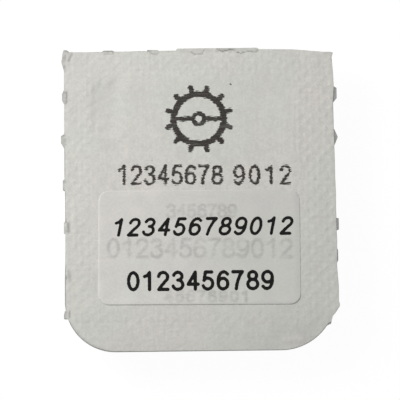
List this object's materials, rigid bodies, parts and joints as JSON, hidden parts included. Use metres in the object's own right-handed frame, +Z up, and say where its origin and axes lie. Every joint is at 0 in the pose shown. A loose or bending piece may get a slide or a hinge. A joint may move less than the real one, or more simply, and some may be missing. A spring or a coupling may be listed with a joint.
{
  "type": "watch balance packet",
  "caption": "Sealed spare-part packet: a clear formed tray with a peel-off paper lid and label, holding a watch balance wheel with its staff, roller, hairspring and stud.",
  "frame": {"origin": "centre of the packet's outline on the surface that it lies on", "axes": "+Z up through the lid, +Y towards the torn head edge, +X to the right as the lid is read"},
  "size_m": [0.041, 0.0448, 0.0063],
  "materials": {
    "clear_sheet": "gloss",
    "lid_paper": "matte",
    "label_paper": "satin",
    "wheel_alloy": "polished",
    "polished_steel": "polished",
    "roller_brass": "polished",
    "ruby": "polished",
    "shellac": "gloss",
    "collet_brass": "satin",
    "spring_alloy": "polished",
    "stud_steel": "satin",
    "cement": "gloss"
  },
  "bodies": {
    "tray": {"blister_tray": "clear_sheet"},
    "lid": {"paper_lid": "lid_paper", "label": "label_paper"},
    "balance": {"balance_wheel": "wheel_alloy", "balance_staff": "polished_steel", "double_roller": "roller_brass", "impulse_jewel": "ruby", "jewel_shellac": "shellac", "collet": "collet_brass", "hairspring": "spring_alloy"},
    "stud": {"stud": "stud_steel", "stud_cement": "cement"}
  },
  "joints": [
    {"name": "lid_peel", "type": "hinge", "parent": "tray", "child": "lid", "pos_m": [0, 0.02244, 0.006], "axis": [-1, 0, 0], "range_deg": [0, 150]},
    {"name": "balance_turn", "type": "hinge", "parent": "tray", "child": "balance", "pos_m": [-0.0009, 0.00065, 0.0023], "axis": [0, 0, 1], "continuous": true},
    {"name": "stud_swing", "type": "hinge", "parent": "balance", "child": "stud", "pos_m": [-0.0009, 0.00065, 0.0028], "axis": [0, 0, 1], "range_deg": [-300, 300], "stiffness_Nm_per_rad": 0.00000021, "deforming": ["hairspring"]}
  ]
}
